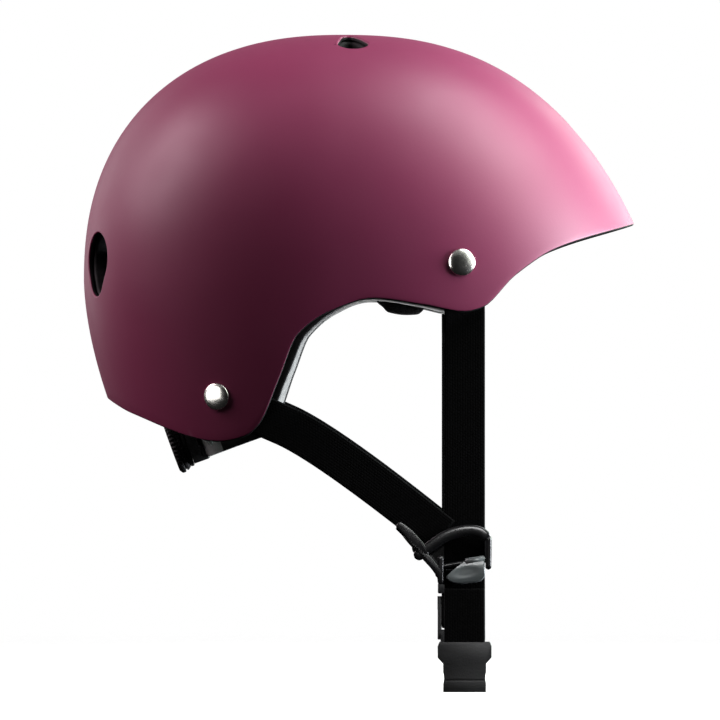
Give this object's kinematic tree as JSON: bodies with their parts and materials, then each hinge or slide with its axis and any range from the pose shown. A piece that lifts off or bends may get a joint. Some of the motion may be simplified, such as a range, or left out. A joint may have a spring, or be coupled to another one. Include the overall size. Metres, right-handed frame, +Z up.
{
  "type": "bicycle helmet",
  "caption": "Round skate-style helmet with a riveted webbing harness, dividers, a side-release buckle and a dial-fit cradle at the nape.",
  "frame": {"origin": "middle of the head cavity, where the wearer's head is", "axes": "+X towards the front, +Y to the wearer's left, +Z up, in the attitude of the picture"},
  "size_m": [0.2752, 0.212, 0.3259],
  "materials": {
    "shell": "satin",
    "foam": "matte",
    "pad_cloth": "matte",
    "nape_cloth": "matte",
    "nickel": "polished",
    "washer_steel": "satin",
    "webbing": "matte",
    "black_plastic": "gloss",
    "flap_plastic": "gloss",
    "cradle_plastic": "satin",
    "dial_plastic": "satin"
  },
  "bodies": {
    "helmet": {"outer_shell": "shell", "liner": "foam", "front_pad": "pad_cloth", "rear_pad": "pad_cloth", "crown_pad": "pad_cloth", "side_pad_left": "pad_cloth", "side_pad_right": "pad_cloth", "rivets": "nickel", "rivet_washers": "washer_steel", "strap_tabs_front": "webbing", "strap_tabs_rear": "webbing", "cradle_band": "cradle_plastic", "dial_housing": "cradle_plastic", "housing_cover": "cradle_plastic", "cradle_hanger": "cradle_plastic", "cradle_plugs": "cradle_plastic", "nape_pad": "nape_cloth"},
    "right_harness": {"front_strap_right": "webbing", "rear_strap_right": "webbing", "divider_right": "black_plastic", "chin_strap_right": "webbing", "buckle_socket": "black_plastic"},
    "left_harness": {"front_strap_left": "webbing", "rear_strap_left": "webbing", "divider_left": "black_plastic", "chin_strap_left": "webbing", "buckle_plug": "black_plastic"},
    "right_lock_flap": {"lock_flap_right": "flap_plastic"},
    "left_lock_flap": {"lock_flap_left": "flap_plastic"},
    "front_buckle_arm": {"buckle_arm_front": "black_plastic"},
    "rear_buckle_arm": {"buckle_arm_rear": "black_plastic"},
    "keeper": {"strap_keeper": "black_plastic"},
    "dial": {"fit_dial": "dial_plastic", "dial_pinion": "cradle_plastic"},
    "left_belt": {"belt_left": "cradle_plastic"},
    "right_belt": {"belt_right": "cradle_plastic"}
  },
  "joints": [
    {"name": "right_straps_swing", "type": "hinge", "parent": "helmet", "child": "right_harness", "pos_m": [0.0565, -0.09418, -0.0415], "axis": [0.8696, -0.0216, 0.4932], "range_deg": [-60, 30]},
    {"name": "left_straps_swing", "type": "hinge", "parent": "helmet", "child": "left_harness", "pos_m": [0.0565, 0.09418, -0.0415], "axis": [-0.8696, -0.0216, -0.4932], "range_deg": [-60, 30]},
    {"name": "right_flap_lift", "type": "hinge", "parent": "right_harness", "child": "right_lock_flap", "pos_m": [0.05645, -0.09633, -0.1595], "axis": [-0.9845, 0.0245, -0.1736], "range_deg": [0, 70]},
    {"name": "left_flap_lift", "type": "hinge", "parent": "left_harness", "child": "left_lock_flap", "pos_m": [0.05645, 0.09633, -0.1595], "axis": [0.9845, 0.0245, 0.1736], "range_deg": [0, 70]},
    {"name": "front_arm_squeeze", "type": "hinge", "parent": "left_harness", "child": "front_buckle_arm", "pos_m": [0.0627, 0.09434, -0.2049], "axis": [-0.0248, 0.9997, 0], "range_deg": [0, 7], "stiffness_Nm_per_rad": 0.05},
    {"name": "rear_arm_squeeze", "type": "hinge", "parent": "left_harness", "child": "rear_buckle_arm", "pos_m": [0.0503, 0.09403, -0.2049], "axis": [0.0248, -0.9997, 0], "range_deg": [0, 7], "stiffness_Nm_per_rad": 0.05},
    {"name": "keeper_slide", "type": "slide", "parent": "left_harness", "child": "keeper", "axis": [0, 0, 1], "range_m": [-0.0012, 0.0023]},
    {"name": "dial_turn", "type": "hinge", "parent": "helmet", "child": "dial", "pos_m": [-0.012, 0, -0.074], "axis": [0.9397, 0, 0.342], "range_deg": [-120, 120]},
    {"name": "left_belt_draw", "type": "hinge", "parent": "helmet", "child": "left_belt", "pos_m": [-0.012, 0, -0.074], "axis": [-0.342, 0, 0.9397], "range_deg": [-10.21, 10.21]},
    {"name": "right_belt_draw", "type": "hinge", "parent": "helmet", "child": "right_belt", "pos_m": [-0.012, 0, -0.074], "axis": [-0.342, 0, 0.9397], "range_deg": [-10.21, 10.21]}
  ],
  "couplings": [
    {"joint": "left_belt_draw", "follows": "dial_turn", "ratio": -0.084644},
    {"joint": "right_belt_draw", "follows": "dial_turn", "ratio": 0.084644}
  ]
}
